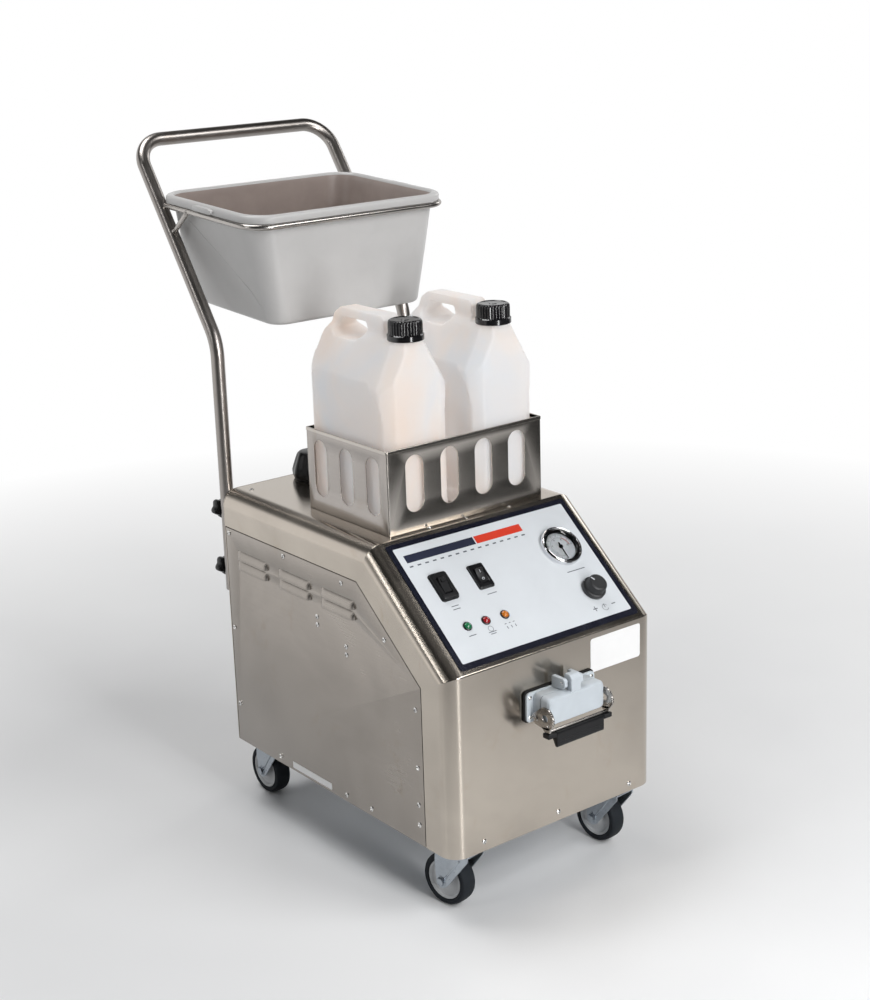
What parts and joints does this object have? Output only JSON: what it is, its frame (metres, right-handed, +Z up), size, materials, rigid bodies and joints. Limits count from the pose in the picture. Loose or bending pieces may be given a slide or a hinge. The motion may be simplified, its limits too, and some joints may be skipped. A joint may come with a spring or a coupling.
{
  "type": "steam cleaner",
  "caption": "Wheeled steel steam cleaner with a sloping control panel, a tray of liquid cans, a front connector, and a bent push handle carrying a bucket.",
  "frame": {"origin": "on the floor, under the middle of the whole object's plan box", "axes": "+Z up, front faces -Y, +X to the object's right seen from the front"},
  "size_m": [0.376, 0.7951, 0.996],
  "materials": {
    "body_steel": "brushed stainless sheet",
    "tube_steel": "polished stainless tube",
    "zinc": "zinc plated steel",
    "label": "printed film, pale grey with dark border",
    "black_plastic": "satin moulded",
    "black_rubber": "soft matt",
    "knob_plastic": "satin dark grey",
    "lamp_green": "clear coloured lens",
    "lamp_red": "clear coloured lens",
    "lamp_amber": "clear coloured lens",
    "gauge_chrome": "polished bezel",
    "gauge_glass": "clear window",
    "can_plastic": "translucent blow moulded",
    "bucket_plastic": "light grey satin",
    "cast_grey": "powder grey die casting",
    "caster_hub": "light grey moulded",
    "tyre_grey": "dark grey rubber",
    "boiler_steel": null,
    "tank_plastic": "natural moulded",
    "pump_metal": "pump and motor casing",
    "box_grey": "switchgear housing",
    "copper_pipe": "copper tube"
  },
  "bodies": {
    "chassis": {"cover": "body_steel", "side_panel_left": "body_steel", "side_panel_right": "body_steel", "rear_panel": "body_steel", "base_plate": "zinc", "control_label": "label", "boot_switch_frame": "black_plastic", "main_switch_frame": "black_plastic", "lamp_green": "lamp_green", "lamp_red": "lamp_red", "lamp_amber": "lamp_amber", "gauge_case": "gauge_chrome", "gauge_lens": "gauge_glass", "filler_neck": "black_plastic", "tray": "body_steel", "handle": "tube_steel", "bucket_ring": "tube_steel", "inlet_gasket": "black_rubber", "inlet_housing": "cast_grey", "inlet_socket": "black_plastic", "caster_plate_front_left": "zinc", "caster_plate_front_right": "zinc", "caster_plate_rear_left": "zinc", "caster_plate_rear_right": "zinc", "inner_frame": "zinc", "boiler": "boiler_steel", "water_tank": "tank_plastic", "pump": "pump_metal", "electrical_box": "box_grey", "steam_pipe": "copper_pipe"},
    "caster_swivel_front_left": {"caster_fork_front_left": "zinc"},
    "caster_roller_front_left": {"caster_wheel_front_left": "caster_hub", "caster_tyre_front_left": "tyre_grey"},
    "caster_swivel_front_right": {"caster_fork_front_right": "zinc"},
    "caster_roller_front_right": {"caster_wheel_front_right": "caster_hub", "caster_tyre_front_right": "tyre_grey"},
    "caster_swivel_rear_left": {"caster_fork_rear_left": "zinc"},
    "caster_roller_rear_left": {"caster_wheel_rear_left": "caster_hub", "caster_tyre_rear_left": "tyre_grey"},
    "caster_swivel_rear_right": {"caster_fork_rear_right": "zinc"},
    "caster_roller_rear_right": {"caster_wheel_rear_right": "caster_hub", "caster_tyre_rear_right": "tyre_grey"},
    "boot_switch_rocker": {"boot_switch_rocker": "black_rubber"},
    "main_switch_rocker": {"main_switch_rocker": "black_plastic"},
    "regulator_knob": {"regulator_knob": "knob_plastic"},
    "gauge_needle": {"gauge_needle": "black_plastic"},
    "filler_cap": {"filler_cap": "black_plastic"},
    "inlet_lid": {"inlet_lid": "cast_grey"},
    "inlet_lever": {"inlet_lever": "tube_steel", "inlet_lever_grip": "black_plastic"},
    "clamp_knob_lower_left": {"clamp_knob_lower_left": "black_plastic"},
    "clamp_knob_upper_left": {"clamp_knob_upper_left": "black_plastic"},
    "clamp_knob_lower_right": {"clamp_knob_lower_right": "black_plastic"},
    "clamp_knob_upper_right": {"clamp_knob_upper_right": "black_plastic"},
    "can_left": {"can_left": "can_plastic"},
    "can_cap_left": {"can_cap_left": "black_plastic"},
    "can_right": {"can_right": "can_plastic"},
    "can_cap_right": {"can_cap_right": "black_plastic"},
    "bucket": {"bucket": "bucket_plastic"}
  },
  "joints": [
    {"name": "swivel_front_left", "type": "hinge", "parent": "chassis", "child": "caster_swivel_front_left", "pos_m": [-0.138, -0.3105, 0.088], "axis": [0, 0, 1], "continuous": true},
    {"name": "roll_front_left", "type": "hinge", "parent": "caster_swivel_front_left", "child": "caster_roller_front_left", "pos_m": [-0.14234, -0.28588, 0.0375], "axis": [0.9848, 0.1736, 0], "continuous": true},
    {"name": "swivel_front_right", "type": "hinge", "parent": "chassis", "child": "caster_swivel_front_right", "pos_m": [0.138, -0.3125, 0.088], "axis": [0, 0, 1], "continuous": true},
    {"name": "roll_front_right", "type": "hinge", "parent": "caster_swivel_front_right", "child": "caster_roller_front_right", "pos_m": [0.13582, -0.2876, 0.0375], "axis": [0.9962, 0.0872, 0], "continuous": true},
    {"name": "swivel_rear_left", "type": "hinge", "parent": "chassis", "child": "caster_swivel_rear_left", "pos_m": [-0.138, 0.1395, 0.088], "axis": [0, 0, 1], "continuous": true},
    {"name": "roll_rear_left", "type": "hinge", "parent": "caster_swivel_rear_left", "child": "caster_roller_rear_left", "pos_m": [-0.138, 0.1645, 0.0375], "axis": [1, 0, 0], "continuous": true},
    {"name": "swivel_rear_right", "type": "hinge", "parent": "chassis", "child": "caster_swivel_rear_right", "pos_m": [0.138, 0.1395, 0.088], "axis": [0, 0, 1], "continuous": true},
    {"name": "roll_rear_right", "type": "hinge", "parent": "caster_swivel_rear_right", "child": "caster_roller_rear_right", "pos_m": [0.14148, 0.16426, 0.0375], "axis": [0.9903, -0.1392, 0], "continuous": true},
    {"name": "boot_switch_rocker_turn", "type": "hinge", "parent": "chassis", "child": "boot_switch_rocker", "pos_m": [-0.11, -0.24923, 0.43895], "axis": [1, 0, 0], "range_deg": [-10, 0]},
    {"name": "main_switch_rocker_turn", "type": "hinge", "parent": "chassis", "child": "main_switch_rocker", "pos_m": [-0.047, -0.25, 0.43831], "axis": [1, 0, 0], "range_deg": [-10, 0]},
    {"name": "regulator_knob_turn", "type": "hinge", "parent": "chassis", "child": "regulator_knob", "pos_m": [0.11, -0.30239, 0.39496], "axis": [0, -0.6375, 0.7705], "range_deg": [-135, 135]},
    {"name": "gauge_needle_turn", "type": "hinge", "parent": "chassis", "child": "gauge_needle", "pos_m": [0.103, -0.24422, 0.44387], "axis": [0, -0.6375, 0.7705], "range_deg": [-270, 0]},
    {"name": "filler_cap_turn", "type": "hinge", "parent": "chassis", "child": "filler_cap", "pos_m": [-0.046, 0.1425, 0.515], "axis": [0, 0, 1], "range_deg": [0, 360]},
    {"name": "inlet_lid_turn", "type": "hinge", "parent": "chassis", "child": "inlet_lid", "pos_m": [0.002, -0.3755, 0.313], "axis": [-1, 0, 0], "range_deg": [0, 110]},
    {"name": "inlet_lever_turn", "type": "hinge", "parent": "chassis", "child": "inlet_lever", "pos_m": [0.002, -0.3665, 0.271], "axis": [1, 0, 0], "range_deg": [0, 45]},
    {"name": "clamp_knob_lower_left_turn", "type": "hinge", "parent": "chassis", "child": "clamp_knob_lower_left", "pos_m": [-0.17, 0.1885, 0.368], "axis": [0, 1, 0], "range_deg": [0, 720]},
    {"name": "clamp_knob_upper_left_turn", "type": "hinge", "parent": "chassis", "child": "clamp_knob_upper_left", "pos_m": [-0.17, 0.1885, 0.458], "axis": [0, 1, 0], "range_deg": [0, 720]},
    {"name": "clamp_knob_lower_right_turn", "type": "hinge", "parent": "chassis", "child": "clamp_knob_lower_right", "pos_m": [0.17, 0.1885, 0.368], "axis": [0, 1, 0], "range_deg": [0, 720]},
    {"name": "clamp_knob_upper_right_turn", "type": "hinge", "parent": "chassis", "child": "clamp_knob_upper_right", "pos_m": [0.17, 0.1885, 0.458], "axis": [0, 1, 0], "range_deg": [0, 720]},
    {"name": "can_left_lift", "type": "slide", "parent": "chassis", "child": "can_left", "axis": [0, 0, 1], "range_m": [0, 0.15]},
    {"name": "can_cap_left_turn", "type": "hinge", "parent": "can_left", "child": "can_cap_left", "pos_m": [-0.076, -0.1405, 0.76], "axis": [0, 0, 1], "range_deg": [0, 540]},
    {"name": "can_right_lift", "type": "slide", "parent": "chassis", "child": "can_right", "axis": [0, 0, 1], "range_m": [0, 0.15]},
    {"name": "can_cap_right_turn", "type": "hinge", "parent": "can_right", "child": "can_cap_right", "pos_m": [0.076, -0.1405, 0.76], "axis": [0, 0, 1], "range_deg": [0, 540]},
    {"name": "bucket_lift", "type": "slide", "parent": "chassis", "child": "bucket", "axis": [0, -0.0506, 0.9987], "range_m": [0, 0.2]}
  ]
}
